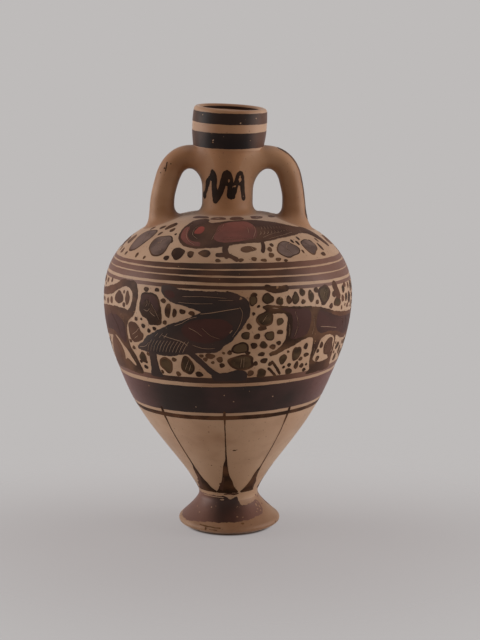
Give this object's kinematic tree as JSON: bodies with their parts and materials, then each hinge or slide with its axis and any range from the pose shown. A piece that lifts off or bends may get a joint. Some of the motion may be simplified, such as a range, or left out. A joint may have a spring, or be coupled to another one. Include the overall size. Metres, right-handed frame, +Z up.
{
  "type": "amphoriskos",
  "caption": "Small two-handled clay oil jar with an ovoid body, a narrow neck, a collar mouth and a flaring foot.",
  "frame": {"origin": "on the jar's axis, in the plane that the foot rests on", "axes": "+Z up along the jar's axis; the handles stand at -X and +X; -Y is the front seen in the picture"},
  "size_m": [0.081, 0.081, 0.14],
  "materials": {
    "clay": "fired pale clay, matt",
    "painted_clay": "dark slip, worn, satin",
    "red_slip": "purple-red over dark slip, matt"
  },
  "bodies": {
    "root": {"body": "clay", "neck": "clay", "mouth_collar": "painted_clay", "foot": "painted_clay", "foot_luting": "clay", "neck_luting": "clay", "left_handle": "clay", "right_handle": "clay", "left_handle_upper_luting": "clay", "left_handle_lower_luting": "clay", "right_handle_upper_luting": "clay", "right_handle_lower_luting": "clay"}
  },
  "joints": []
}
